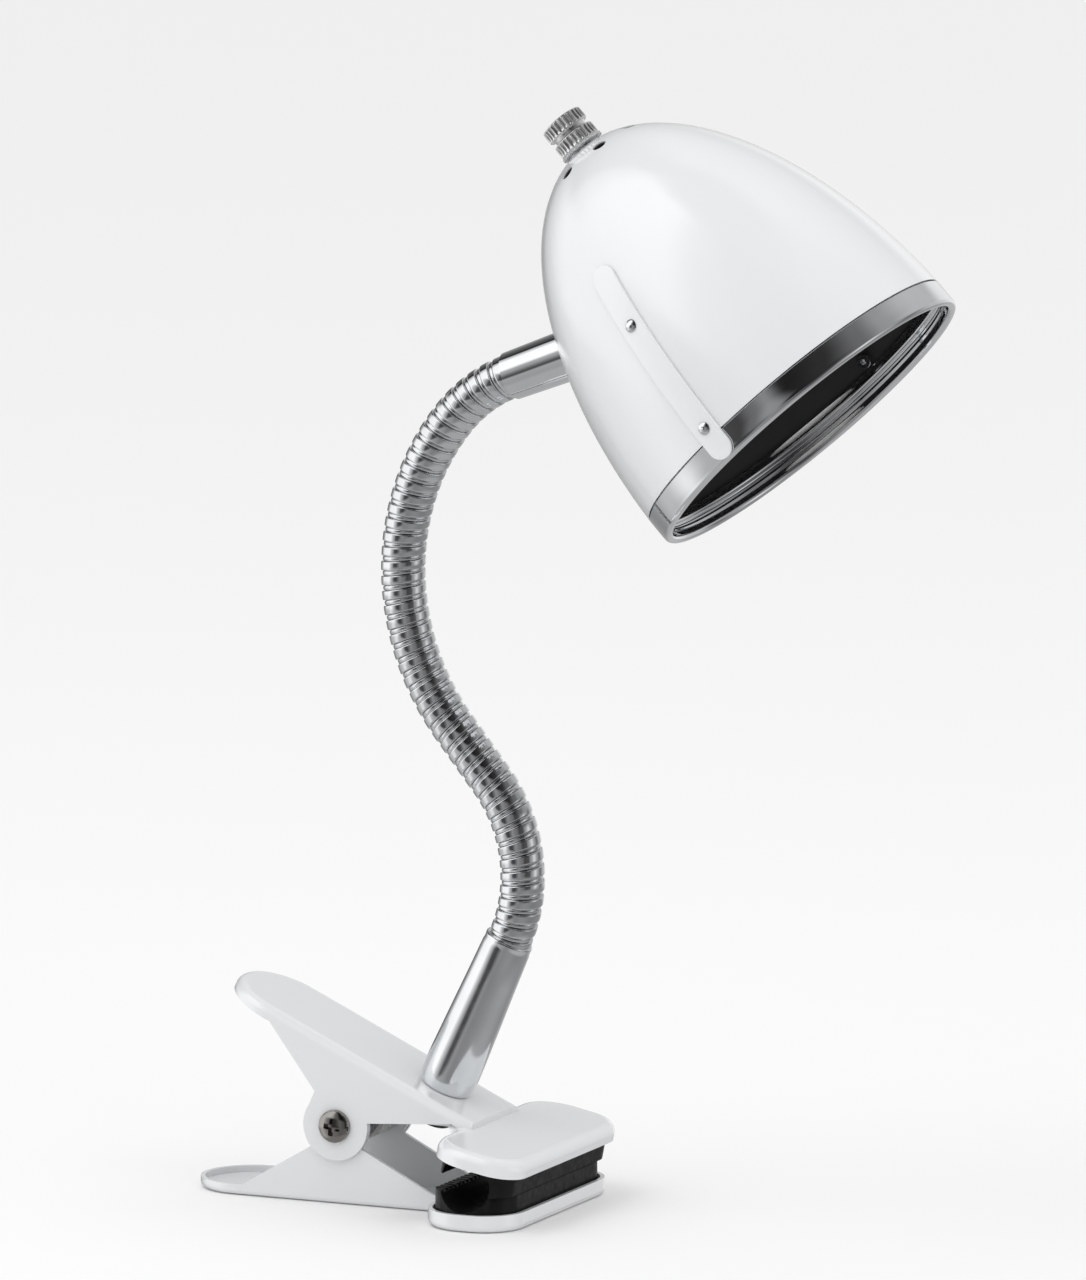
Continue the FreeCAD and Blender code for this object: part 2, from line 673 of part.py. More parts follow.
def lamp_holder():
    """Moulded sleeve of the lampholder."""
    sleeve = [(8.3, 46.0), (12.6, 46.0), (HOLDER_R, 47.0), (HOLDER_R, 72.5), (12.0, 75.0),
              (0.0, 75.0), (0.0, 69.0), (8.3, 69.0)]
    return placed(turned(sleeve), SHADE)


def holder_shell():
    """Threaded brass sleeve that takes the bulb's cap."""
    return placed(ring(8.25, 7.45, 47.5, 66.0), SHADE)


def centre_contact():
    return placed(cylinder(1.6, 66.5, 69.0).fuse(cylinder(3.2, 68.2, 69.0)), SHADE)


def bulb_cap():
    """E14 cap with its insulated tip."""
    cap = [(0.0, 47.0), (7.0, 47.0)]
    for i in range(5):
        cap += [(7.35, 48.5 + 2.8 * i), (7.0, 49.9 + 2.8 * i)]
    cap += [(6.9, 63.0), (3.0, 65.2), (2.2, 66.4), (0.0, 66.4)]
    return placed(turned(cap), SHADE)


def bulb_glass():
    """Small round bulb, hollow, its neck in the cap."""
    centre = 31.0

    def profile(radius, neck_r, top):
        points = [(0.0, centre - radius)]
        for i in range(1, 15):
            angle = math.radians(-90 + 10 * i)
            points.append((radius * math.cos(angle), centre + radius * math.sin(angle)))
        return turned(points + [(neck_r + 0.6, 45.6), (neck_r, top), (0.0, top)])

    return placed(profile(16.0, 6.9, 46.9).cut(profile(15.2, 6.1, 46.0)), SHADE)


def wire(side):
    """One insulated core from the end of the cable to the lampholder's terminals."""
    way = Vector(math.cos(NECK_END_HEADING), 0, math.sin(NECK_END_HEADING))
    start = NECK_END + way * 31.2 + Vector(0, side * 1.1, 0)
    outward = Vector(-0.9, side * 0.436, 0)
    terminal = outward * (HOLDER_R + 0.1) + Vector(0, 0, 62.0)
    curve = Part.BezierCurve()
    curve.setPoles([start, start + way * 4.0, SHADE.multVec(terminal + outward * 5.0),
                    SHADE.multVec(terminal)])
    path = Part.Wire(curve.toShape())
    profile = Part.Wire(Part.makeCircle(0.9, start, way))
    return path.makePipeShell([profile], True, False)


def build():
    parts = {
        "upper_jaw": upper_jaw(),
        "lower_jaw": lower_jaw(),
        "upper_pad": upper_pad(),
        "lower_pad": lower_pad(),
        "pivot_screw": pivot_screw(),
        "pivot_nut": pivot_nut(),
        "pivot_bush": pivot_bush(),
        "spring_drum": spring_drum(),
        "clamp_spring": clamp_spring(),
        "base_tube": base_tube(),
        "base_washer": base_washer(),
        "base_nut": base_nut(),
        "cord_gland": cord_gland(),
        "head_tube": head_tube(),
        "tube_nut": tube_nut(),
        "head_bracket": head_bracket(),
        "shade": shade(),
        "rim_ring": rim_ring(),
        "strap_right": strap(-1),
        "strap_left": strap(1),
        "shade_rivets": shade_rivets(),
        "apex_washer": apex_washer(),
        "ring_nut": ring_nut(),
        "switch_knob": switch_knob(),
        "switch_shaft": switch_shaft(),
        "nipple": nipple(),
        "lock_nut": lock_nut(),
        "switch_body": switch_body(),
        "lamp_holder": lamp_holder(),
        "holder_shell": holder_shell(),
        "centre_contact": centre_contact(),
        "bulb_cap": bulb_cap(),
        "bulb_glass": bulb_glass(),
        "live_wire": wire(-1),
        "neutral_wire": wire(1),
    }
    for i in range(NECK_JOINTS + 1):
        parts[f"hose_{i + 1}"] = hose(i)
        parts[f"cable_{i + 1}"] = cable(i)
    return parts


if __name__ == "__main__":
    os.makedirs("parts", exist_ok=True)
    for name, shape in build().items():
        shape.exportStep(f"parts/{name}.step")
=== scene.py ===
import json
import math

import bmesh
import bpy
from mathutils import Matrix, Vector


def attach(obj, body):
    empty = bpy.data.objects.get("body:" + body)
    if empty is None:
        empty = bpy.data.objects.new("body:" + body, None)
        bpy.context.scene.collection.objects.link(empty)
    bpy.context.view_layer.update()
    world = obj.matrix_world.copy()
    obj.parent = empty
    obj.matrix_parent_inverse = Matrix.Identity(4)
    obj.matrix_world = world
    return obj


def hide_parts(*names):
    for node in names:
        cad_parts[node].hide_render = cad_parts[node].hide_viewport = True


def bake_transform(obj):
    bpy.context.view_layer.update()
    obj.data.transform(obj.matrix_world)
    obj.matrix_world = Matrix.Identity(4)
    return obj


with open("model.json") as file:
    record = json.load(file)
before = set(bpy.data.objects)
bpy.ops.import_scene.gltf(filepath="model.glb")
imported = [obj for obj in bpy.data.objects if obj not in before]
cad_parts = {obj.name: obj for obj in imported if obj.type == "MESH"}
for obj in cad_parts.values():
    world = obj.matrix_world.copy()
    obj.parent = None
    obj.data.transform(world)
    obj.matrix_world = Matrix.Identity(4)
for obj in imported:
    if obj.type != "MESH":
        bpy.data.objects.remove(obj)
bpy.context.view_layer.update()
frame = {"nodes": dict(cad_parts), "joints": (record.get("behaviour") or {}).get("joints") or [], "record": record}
RECORD = frame["record"]
NODES = frame["nodes"]
MM = 0.001

# ------------------------------------------------------------------ places

JOINTS = {j["name"]: j for j in frame["joints"]}
PIVOT = Vector(JOINTS["clamp_open"]["pos_m"])


def local_frame(origin, pitch):
    """A frame at origin, turned nose-down about Y by pitch degrees."""
    return Matrix.Translation(origin) @ Matrix.Rotation(math.radians(pitch), 4, "Y")


# Sizes of the CAD model, in millimetres and degrees.
LEVER_PITCH = 24.6
LEVER_RISE = 20.0
TUBE_S = 18.8
TUBE_LENGTH = 46.0
HOSE_BORE_R = 3.7
HOSE_PITCH = 3.8
# The neck from the base tube up: (radius, turn) of an arc, or (0, length) of a straight run.
NECK_ARCS = [(40.6, 63.7), (0.0, 17.5), (66.6, -78.4), (42.7, -28.4)]
RIM_CENTRE = Vector((133.0, 0.0, 198.4)) * MM
SHADE_PITCH = 43.9
SHADE_R = 50.0
SHADE_HEIGHT = 96.5
SPRING = {"wire": 0.75, "coil": 4.9, "pitch": 1.6, "turns": 6, "y": 1.0}

LEVER = local_frame(PIVOT, LEVER_PITCH)
TUBE = LEVER @ Matrix.Translation(Vector((TUBE_S, 0, LEVER_RISE)) * MM)
SHADE = local_frame(PIVOT + RIM_CENTRE, -SHADE_PITCH)
NECK_BODIES = ["upper_jaw", "neck_1", "neck_2", "neck_3", "neck_4", "neck_5", "head"]


def along_run(run, distance):
    """The point and heading at a distance along one (point, heading, radius, turn) run."""
    point, heading, radius, amount = run
    if not radius:
        return point + Vector((math.cos(heading), 0, math.sin(heading))) * distance, heading
    side = 1 if amount > 0 else -1
    centre = point + Vector((-math.sin(heading), 0, math.cos(heading))) * (side * radius)
    turn = heading + side * distance / radius
    return centre + Vector((math.sin(turn), 0, -math.cos(turn))) * (side * radius), turn


def run_length(radius, amount):
    return abs(math.radians(amount)) * radius if radius else amount


def neck_runs():
    """The neck's arcs in metres, from the top of the base tube."""
    point = TUBE @ Vector((0, 0, TUBE_LENGTH * MM))
    heading = math.radians(90 - LEVER_PITCH)
    runs = []
    for radius, amount in NECK_ARCS:
        length = run_length(radius, amount) * MM
        runs.append((point, heading, radius * MM, amount, length))
        point, heading = along_run(runs[-1][:4], length)
    return runs


NECK_RUNS = neck_runs()
NECK_LENGTH = sum(run[4] for run in NECK_RUNS)
HOSE_STEP = NECK_LENGTH / (len(NECK_BODIES) - 1)


def at_neck(distance):
    """The neck's centre and its heading in the XZ plane at a distance along it."""
    for run in NECK_RUNS:
        if distance <= run[4] + 1e-9:
            return along_run(run[:4], distance)
        distance -= run[4]
    return along_run(NECK_RUNS[-1][:4], distance + NECK_RUNS[-1][4])


# ------------------------------------------------------------------ materials

class Graph:
    """Short hand for building a node material."""

    def __init__(self, name):
        self.material = bpy.data.materials.new(name)
        self.material.use_nodes = True
        self.tree = self.material.node_tree
        self.shader = self.tree.nodes["Principled BSDF"]
        coordinate = self.tree.nodes.new("ShaderNodeTexCoord")
        self.place = coordinate.outputs["Object"]

    def set(self, **values):
        for key, value in values.items():
            socket = self.shader.inputs[key.replace("_", " ")]
            socket.default_value = value

    def node(self, kind, **values):
        made = self.tree.nodes.new(kind)
        for key, value in values.items():
            setattr(made, key, value)
        return made

    def join(self, output, target):
        self.tree.links.new(output, target)

    def noise(self, scale, detail=3.0):
        """Noise whose cells are about scale millimetres across."""
        texture = self.node("ShaderNodeTexNoise")
        texture.inputs["Scale"].default_value = 1.0 / (scale * MM)
        texture.inputs["Detail"].default_value = detail
        self.join(self.place, texture.inputs["Vector"])
        return texture.outputs["Fac"]

    def ramp(self, value, low, high, start=0.0, end=1.0):
        made = self.node("ShaderNodeMapRange")
        made.inputs["From Min"].default_value = start
        made.inputs["From Max"].default_value = end
        made.inputs["To Min"].default_value = low
        made.inputs["To Max"].default_value = high
        self.join(value, made.inputs["Value"])
        return made.outputs["Result"]

    def mix(self, factor, a, b):
        made = self.node("ShaderNodeMix", data_type="RGBA")
        self.join(factor, made.inputs["Factor"])
        for socket, value in ((made.inputs[6], a), (made.inputs[7], b)):
            if isinstance(value, tuple):
                socket.default_value = value
            else:
                self.join(value, socket)
        return made.outputs[2]

    def colour(self, output):
        self.join(output, self.shader.inputs["Base Color"])

    def rough(self, output):
        self.join(output, self.shader.inputs["Roughness"])

    def bump(self, height, depth):
        """depth is the relief in millimetres."""
        made = self.node("ShaderNodeBump")
        made.inputs["Strength"].default_value = 1.0
        made.inputs["Distance"].default_value = depth * MM
        self.join(height, made.inputs["Height"])
        self.join(made.outputs["Normal"], self.shader.inputs["Normal"])


def grey(value, tint=(1.0, 1.0, 1.0)):
    return (value * tint[0], value * tint[1], value * tint[2], 1.0)


def paint(name, tone, tint, roughness):
    """Gloss paint: a soft orange peel, and a little unevenness in its gloss."""
    g = Graph(name)
    g.set(Roughness=roughness, IOR=1.5, Coat_Weight=1.0, Coat_IOR=1.7, Coat_Roughness=0.12)
    g.colour(g.mix(g.noise(22.0, 1.0), grey(tone * 1.01, tint), grey(tone * 0.985, tint)))
    g.rough(g.ramp(g.noise(30.0, 0.0), roughness * 0.96, roughness * 1.04))
    g.bump(g.noise(1.8, 0.0), 0.0015)
    return g


def metal(name, tone, tint, roughness, spread=0.3, grain=0.0, cell=0.5):
    g = Graph(name)
    g.set(Metallic=1.0, Roughness=roughness)
    shade = g.ramp(g.noise(9.0, 2.0), 0.0, 1.0, 0.3, 0.7)
    g.colour(g.mix(shade, grey(tone, tint), grey(tone * 0.94, tint)))
    g.rough(g.ramp(g.noise(2.5), roughness * (1 - spread), roughness * (1 + spread), 0.3, 0.7))
    if grain:
        g.bump(g.noise(cell, 4.0), grain)
    return g


def moulded(name, tone, tint, roughness, grain, cell):
    g = Graph(name)
    g.set(Roughness=roughness, IOR=1.48)
    g.colour(g.mix(g.noise(3.0), grey(tone, tint), grey(tone * 1.18, tint)))
    g.rough(g.ramp(g.noise(1.2), roughness * 0.85, roughness * 1.15, 0.3, 0.7))
    g.bump(g.noise(cell, 3.0), grain)
    return g


NEUTRAL = (1.0, 1.0, 1.0)
COOL = (0.968, 0.984, 1.0)
WARM = (1.0, 0.985, 0.955)


def shade_material():
    """White gloss outside; near-black satin inside and at the vents' edges, partly the coat's own colour and
    partly painted shadow.
    """
    g = paint("painted_shade", 0.84, COOL, 0.2)
    inverse = SHADE.inverted()
    local = g.node("ShaderNodeMapping")
    local.vector_type = "POINT"
    local.inputs["Location"].default_value = inverse.to_translation()
    local.inputs["Rotation"].default_value = inverse.to_euler()
    g.join(g.place, local.inputs["Vector"])
    scaled = g.node("ShaderNodeVectorMath", operation="MULTIPLY")
    skin = 0.35
    scaled.inputs[1].default_value = (1 / ((SHADE_R - skin) * MM), 1 / ((SHADE_R - skin) * MM),
                                      1 / ((SHADE_HEIGHT - skin) * MM))
    g.join(local.outputs["Vector"], scaled.inputs[0])
    length = g.node("ShaderNodeVectorMath", operation="LENGTH")
    g.join(scaled.outputs[0], length.inputs[0])
    outside = g.ramp(length.outputs["Value"], 0.0, 1.0, 0.9985, 1.0005)
    white = g.shader.inputs["Base Color"].links[0].from_socket
    # Painted shadow: the inside is coloured near black, darker than its satin coat, for the dim inside of the lamp
    # shade.
    g.colour(g.mix(outside, grey(0.085), white))
    g.rough(g.ramp(outside, 0.62, 0.2))
    return g.material


def rubber():
    """Black rubber with a fine bloom and dust in its pores."""
    g = Graph("black_rubber")
    g.set(IOR=1.4, Roughness=0.42, Specular_IOR_Level=0.35)
    patch = g.ramp(g.noise(4.0, 5.0), 0.0, 1.0, 0.42, 0.75)
    g.colour(g.mix(patch, grey(0.005), grey(0.010)))
    g.rough(g.ramp(g.noise(2.0, 4.0), 0.36, 0.58, 0.3, 0.7))
    g.bump(g.noise(0.28, 4.0), 0.012)
    return g.material


def glass():
    g = Graph("bulb_glass")
    g.set(Roughness=0.25, IOR=1.45, Transmission_Weight=0.5, Coat_Weight=0.6, Coat_Roughness=0.05)
    g.colour(g.mix(g.noise(6.0), (0.94, 0.94, 0.92, 1.0), (0.9, 0.9, 0.88, 1.0)))
    g.bump(g.noise(4.0, 1.0), 0.01)
    return g.material


def clear_plastic():
    g = Graph("clear_plastic")
    g.set(Roughness=0.3, IOR=1.49, Transmission_Weight=0.55)
    g.colour(g.mix(g.noise(2.0), (0.86, 0.87, 0.87, 1.0), (0.78, 0.79, 0.8, 1.0)))
    g.bump(g.noise(0.4), 0.02)
    return g.material


MATERIALS = {
    "painted_steel": paint("painted_steel", 0.85, COOL, 0.24).material,
    "painted_shade": shade_material(),
    "bright_chrome": metal("bright_chrome", 0.86, COOL, 0.045, 0.4).material,
    "hose_chrome": metal("hose_chrome", 0.80, COOL, 0.045, 0.3).material,
    "dark_nickel": metal("dark_nickel", 0.34, (1.0, 0.95, 0.91), 0.07, 0.2, 0.001, 0.8).material,
    "zinc_steel": metal("zinc_steel", 0.6, NEUTRAL, 0.32, 0.3, 0.02, 0.5).material,
    "spring_steel": metal("spring_steel", 0.3, NEUTRAL, 0.3, 0.3, 0.01, 0.3).material,
    "knurled_aluminium": metal("knurled_aluminium", 0.92, NEUTRAL, 0.27, 0.2, 0.004, 0.3).material,
    "brass": metal("brass", 0.8, (1.0, 0.78, 0.38), 0.25, 0.3, 0.01, 0.6).material,
    "black_rubber": rubber(),
    "black_plastic": moulded("black_plastic", 0.014, NEUTRAL, 0.38, 0.012, 0.3).material,
    "white_plastic": moulded("white_plastic", 0.72, WARM, 0.3, 0.01, 0.5).material,
    "cable_jacket": moulded("cable_jacket", 0.68, WARM, 0.42, 0.02, 0.6).material,
    "core_brown": moulded("core_brown", 0.16, (1.0, 0.5, 0.25), 0.4, 0.01, 0.4).material,
    "core_blue": moulded("core_blue", 0.3, (0.2, 0.5, 1.0), 0.4, 0.01, 0.4).material,
    "clear_plastic": clear_plastic(),
    "bulb_glass": glass(),
}


# ------------------------------------------------------------------ mesh building

def piece(name, mesh, slot, body=None, replaces=(), material=None):
    """Finishes a new piece: its material slot and body, and hides the CAD nodes it replaces."""
    mesh.materials.append(material or MATERIALS[slot])
    made = bpy.data.objects.new(name, mesh)
    bpy.context.scene.collection.objects.link(made)
    if replaces:
        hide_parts(*replaces)
    if body:
        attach(made, body)
    return made


def mesh_of(name, vertices, faces, sharp=40.0, close=1e-7):
    """A mesh with normals outward, smooth except at edges sharper than sharp degrees."""
    mesh = bpy.data.meshes.new(name)
    mesh.from_pydata(vertices, [], faces)
    bm = bmesh.new()
    bm.from_mesh(mesh)
    bmesh.ops.remove_doubles(bm, verts=bm.verts, dist=close)
    bmesh.ops.dissolve_degenerate(bm, edges=bm.edges, dist=close)
    bmesh.ops.recalc_face_normals(bm, faces=bm.faces)
    bm.to_mesh(mesh)
    bm.free()
    mesh.shade_smooth()
    mesh.set_sharp_from_angle(angle=math.radians(sharp))
    return mesh


def grid_faces(rows, columns, close_rows, first=0):
    """Quads over a grid that is closed round its columns, and round its rows if close_rows."""
    faces = []
    for i in range(rows if close_rows else rows - 1):
        j = (i + 1) % rows
        for k in range(columns):
            n = (k + 1) % columns
            faces.append((first + i * columns + k, first + i * columns + n,
                          first + j * columns + n, first + j * columns + k))
    return faces


def lathe(name, profile, segments, place, wave=None, sharp=40.0):
    """A closed half section of (r, z) in mm, turned about local Z. wave(angle, r, z) changes r."""
    vertices = []
    for r, z in profile:
        for k in range(segments):
            angle = 2 * math.pi * k / segments
            radius = wave(angle, r, z) if wave else r
            vertices.append(place @ (Vector((radius * math.cos(angle), radius * math.sin(angle), z))
                                     * MM))
    return mesh_of(name, vertices, grid_faces(len(profile), segments, True), sharp)


def arc(cx, cz, radius, start, end, steps):
    """Points (r, z) along an arc, in degrees from the +r direction."""
    return [(cx + radius * math.cos(math.radians(start + (end - start) * i / steps)),
             cz + radius * math.sin(math.radians(start + (end - start) * i / steps)))
            for i in range(steps + 1)]


def tube(name, points, radius, sides):
    """A round bar with rounded ends along points in metres."""
    count = len(points)
    ways = [(points[min(i + 1, count - 1)] - points[max(i - 1, 0)]).normalized()
            for i in range(count)]
    side = ways[0].orthogonal().normalized()
    vertices = []
    rings = []
    for i, way in enumerate(ways):
        side = (side - way * side.dot(way)).normalized()
        rings.append((points[i], side.copy(), way.cross(side), 1.0))
    for end, (index, sign) in enumerate(((0, -1.0), (count - 1, 1.0))):
        centre, across, up, _ = rings[index if end == 0 else -1]
        for step in (0.5, 0.866, 1.0):
            offset = ways[index] * (sign * radius * step * 0.5)
            ring = (centre + offset, across, up, max(0.02, math.sqrt(1 - step * step)))
            rings.insert(0, ring) if end == 0 else rings.append(ring)
    for centre, across, up, size in rings:
        for k in range(sides):
            angle = 2 * math.pi * k / sides
            vertices.append(centre + (across * math.cos(angle) + up * math.sin(angle))
                            * (radius * size))
    faces = grid_faces(len(rings), sides, False)
    faces.append(tuple(range(sides))[::-1])
    faces.append(tuple(range((len(rings) - 1) * sides, len(rings) * sides)))
    return mesh_of(name, vertices, faces)


# ------------------------------------------------------------------ neck

# One turn of the hose, as (distance along it, radius) in mm: a wide crowned strip,
# then a narrow wire sunk between its neighbours.
HOSE_TURN = [
    (0.00, 5.05), (0.04, 5.66), (0.11, 5.90), (0.22, 5.97), (0.45, 5.995), (1.22, 6.00),
    (2.00, 5.995), (2.23, 5.97), (2.34, 5.90), (2.41, 5.66), (2.45, 5.05), (2.54, 5.36),
    (2.66, 5.50), (2.88, 5.57), (3.125, 5.59), (3.37, 5.57), (3.59, 5.50), (3.71, 5.36),
]


# The share of each piece of hose, at either end, whose points build_hose works out but does not use.
STIFF_SHARE = 0.06


def hose_radius(along):
    """The hose's outer radius in mm at a distance within one turn."""
    points = HOSE_TURN + [(HOSE_PITCH, HOSE_TURN[0][1])]
    for (a, ra), (b, rb) in zip(points, points[1:]):
        if a <= along <= b:
            return ra + (rb - ra) * (along - a) / (b - a)
    return HOSE_TURN[0][1]


def hose_piece(index, columns=80):
    """The hose between two whole steps of the neck, wound right-handed all the way."""
    low, high = index * HOSE_STEP / MM, (index + 1) * HOSE_STEP / MM
    turns = range(int(low / HOSE_PITCH) - 2, int(high / HOSE_PITCH) + 2)
    lines = [turn * HOSE_PITCH + along for turn in turns for along, _ in HOSE_TURN]
    vertices = []
    for line in lines:
        for k in range(columns):
            angle = 2 * math.pi * k / columns
            along = min(high, max(low, line + HOSE_PITCH * k / columns))
            radius = hose_radius((along - HOSE_PITCH * k / columns) % HOSE_PITCH)
            vertices.append((along, angle, radius))
    faces = []
    rows = len(lines)
    for i in range(rows - 1):
        for k in range(columns):
            n = (k + 1) % columns
            shift = len(HOSE_TURN) if k == columns - 1 else 0
            a, b = i * columns + k, (i + 1) * columns + k
            if i + 1 + shift < rows:
                c, d = (i + 1 + shift) * columns + n, (i + shift) * columns + n
                faces.append((a, d, c, b))
    faces = [f for f in faces if len({round(vertices[v][0], 7) for v in f}) > 1]
    start = len(vertices)
    steps = 12
    for i in range(steps + 1):
        for k in range(columns):
            vertices.append((low + (high - low) * i / steps, 2 * math.pi * k / columns,
                             HOSE_BORE_R))
    faces += grid_faces(steps + 1, columns, False, start)
    placed = []
    for along, angle, radius in vertices:
        point, heading = at_neck(along * MM)
        way = Vector((math.cos(heading), 0, math.sin(heading)))
        first = Vector((0, 1, 0))
        second = way.cross(first)
        placed.append(point + (first * math.cos(angle) + second * math.sin(angle))
                      * (radius * MM))
    return placed, faces


def close_hose(placed, faces, name, middle, way):
    """Joins the hose's outer wall to its bore at both cut ends."""
    mesh = bpy.data.meshes.new(name)
    mesh.from_pydata(placed, [], faces)
    bm = bmesh.new()
    bm.from_mesh(mesh)
    bmesh.ops.remove_doubles(bm, verts=bm.verts, dist=1e-7)
    loose = [v for v in bm.verts if not v.link_faces]
    bmesh.ops.delete(bm, geom=loose, context="VERTS")
    rims = [e for e in bm.edges if e.is_boundary]
    for side in (-1, 1):
        edges = [e for e in rims if side * way.dot(e.verts[0].co - middle) > 0]
        bmesh.ops.bridge_loops(bm, edges=edges)
    bmesh.ops.recalc_face_normals(bm, faces=bm.faces)
    bm.to_mesh(mesh)
    bm.free()
    mesh.shade_smooth()
    mesh.set_sharp_from_angle(angle=math.radians(45))
    return mesh


def build_hose():
    for index in range(len(NECK_BODIES) - 1):
        placed, faces = hose_piece(index)
        middle, heading = at_neck((index + 0.5) * HOSE_STEP)
        way = Vector((math.cos(heading), 0, math.sin(heading)))
        mesh = close_hose(placed, faces, f"neck_hose_{index + 1}", middle, way)
        stands_for = [f"hose_{index + 1}"]
        if index == len(NECK_BODIES) - 2:
            stands_for.append(f"hose_{index + 2}")
        made = piece(f"neck_hose_{index + 1}", mesh, "hose_chrome", replaces=stands_for)
        start = at_neck((index + STIFF_SHARE) * HOSE_STEP)[0]
        end = at_neck((index + 1 - STIFF_SHARE) * HOSE_STEP)[0]
        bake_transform(made)


build_hose()


# ------------------------------------------------------------------ turned chrome

def build_base_tube():
    """The tapered tube at the foot of the neck, with its rolled top lip."""
    high = TUBE_LENGTH
    profile = [(HOSE_BORE_R, -9.0), (4.9, -9.0), (4.9, 0.0), (6.6, 0.0)]
    profile += arc(6.6, 0.5, 0.5, -90, -40, 3)
    for i in range(1, 9):
        turn = math.radians(11.25 * i)
        profile.append((6.95 + 0.8 * math.sin(turn), 0.15 + 5.2 * (1 - math.cos(turn))))
    profile += [(7.7, 9.0), (7.3, 22.0), (6.9, 34.0), (6.66, high - 3.0)]
    profile += [(6.52, high - 2.2), (6.5, high - 1.5)]
    profile += arc(6.05, high - 0.6, 0.55, -10, 95, 7)
    profile += [(5.9, high - 0.05), (5.5, high - 0.3), (HOSE_BORE_R, high - 0.3)]
    soft = metal("soft_chrome", 0.86, COOL, 0.12, 0.25).material
    piece("base_tube_turned", lathe("base_tube_turned", profile, 128, TUBE), "bright_chrome",
          "upper_jaw", ["base_tube"], soft)


def shade_radius(level):
    return SHADE_R * math.sqrt(1 - (level / SHADE_HEIGHT) ** 2)


def build_rim_ring():
    """The rolled ring round the mouth, its flat band outside and its bead inside."""
    top = 7.6
    outer = shade_radius(top)
    profile = [(outer - 0.25, top), (outer, top - 0.25), (outer + 0.02, 4.6), (outer + 0.02, 2.0)]
    profile += arc(outer - 1.32, 1.32, 1.32, 12, -180, 16)
    inner = outer - 2.64
    profile += [(inner, 1.6), (inner + 0.3, 2.3)]
    profile += arc(outer - 1.9, 3.5, 0.7, 215, 125, 5)
    profile += [(outer - 1.35, 4.9), (outer - 1.5, 5.3)]
    profile += arc(outer - 1.75, 6.2, 0.65, 230, 110, 5)
    profile += [(outer - 1.8, 7.4), (outer - 1.8, 8.3), (outer - 1.15, 8.3), (outer - 1.15, top)]
    piece("rim_ring_rolled", lathe("rim_ring_rolled", profile, 256, SHADE), "bright_chrome",
          "head", ["rim_ring"])


def dark_coat_painted_shadow():
    """The shade's satin inside, coloured near black: partly its own dark coat, partly painted shadow."""
    g = Graph("shade_inside_painted_shadow")
    g.set(Roughness=0.55, IOR=1.4, Specular_IOR_Level=0.15)
    # Painted shadow: tones of 0.030 to 0.042 stand in for the dim inside of the lamp shade.
    g.colour(g.mix(g.noise(16.0, 1.0), grey(0.030), grey(0.042)))
    g.rough(g.ramp(g.noise(10.0, 1.0), 0.5, 0.62))
    g.bump(g.noise(0.5), 0.004)
    return g.material


def build_liner():
    """The coat inside the shade, from behind the ring's collar to below the vents; its near-black colour is partly
    painted shadow.
    """
    low, high, wall = 8.4, 80.0, 0.82
    levels = [low + (high - low) * i / 40 for i in range(41)]

    def radius(level, shrink):
        return (SHADE_R - shrink) * math.sqrt(1 - (level / (SHADE_HEIGHT - shrink)) ** 2)

    profile = [(radius(level, wall), level) for level in levels]
    profile += [(radius(level, wall + 0.05), level) for level in reversed(levels)]
    piece("shade_lining_painted_shadow", lathe("shade_lining_painted_shadow", profile, 192, SHADE), "painted_shade", "head",
          material=dark_coat_painted_shadow())


def build_strap(side, name, node):
    """A flat spring strip bent down the side of the shade, with rounded ends and edges."""
    half, wall, edge = 3.6, 0.9, 0.22
    low, high = 0.8, 63.5
    turn = Matrix.Rotation(math.radians(side * 90 - 2.3), 4, "Z")
    levels = [low + half * (1 - math.cos(math.radians(7.5 * i))) for i in range(12)]
    levels += [low + half + (high - low - 2 * half) * i / 40 for i in range(41)]
    levels += [high - half * (1 - math.cos(math.radians(7.5 * i))) for i in range(11, -1, -1)]
    vertices = []
    for level in levels:
        r = shade_radius(level)
        out = Vector((r / SHADE_R ** 2, 0, level / SHADE_HEIGHT ** 2)).normalized()
        near = min(level - low, high - level)
        width = half if near >= half else math.sqrt(max(0.0, half ** 2 - (half - near) ** 2))
        width = max(width, 0.02)
        soft = min(edge, width * 0.5)
        section = [(-width, 0.0), (-width, wall - edge)]
        section += [(-width + soft * (1 - math.cos(a)), wall - edge + edge * math.sin(a))
                    for a in (0.4, 0.8, 1.2, math.pi / 2)]
        section += [(-x, z) for x, z in reversed(section)]
        for across, depth in section:
            point = Vector((r, across, level)) + out * (0.06 + depth)
            vertices.append(SHADE @ (turn @ (point * MM)))
    count = 12
    faces = grid_faces(len(levels), count, False)
    faces.append(tuple(range(count))[::-1])
    faces.append(tuple(range((len(levels) - 1) * count, len(levels) * count)))
    piece(name, mesh_of(name, vertices, faces, 50.0), "painted_steel", "head", [node])


def knurl(teeth, depth, low, high, run_out):
    """Straight knurling that runs out towards both ends of a drum."""
    def wave(angle, r, z):
        if r < 5.0 or not low <= z <= high:
            return r
        fade = min(1.0, (z - low) / run_out, (high - z) / run_out)
        tooth = abs((angle * teeth / math.pi) % 2.0 - 1.0)
        return r - depth * fade * min(1.0, tooth * 1.6)
    return wave


def drum_profile(bore, radius, low, high, chamfer):
    """A drum's half section with turned, rounded ends."""
    profile = [(bore, low), (radius - chamfer - 0.3, low)]
    profile += arc(radius - chamfer, low + chamfer, chamfer, -90, 0, 5)
    steps = 4
    profile += [(radius, low + chamfer + (high - low - 2 * chamfer) * i / steps)
                for i in range(1, steps)]
    profile += arc(radius - chamfer, high - chamfer, chamfer, 0, 90, 5)
    return profile + [(radius - chamfer - 0.3, high), (bore, high)]


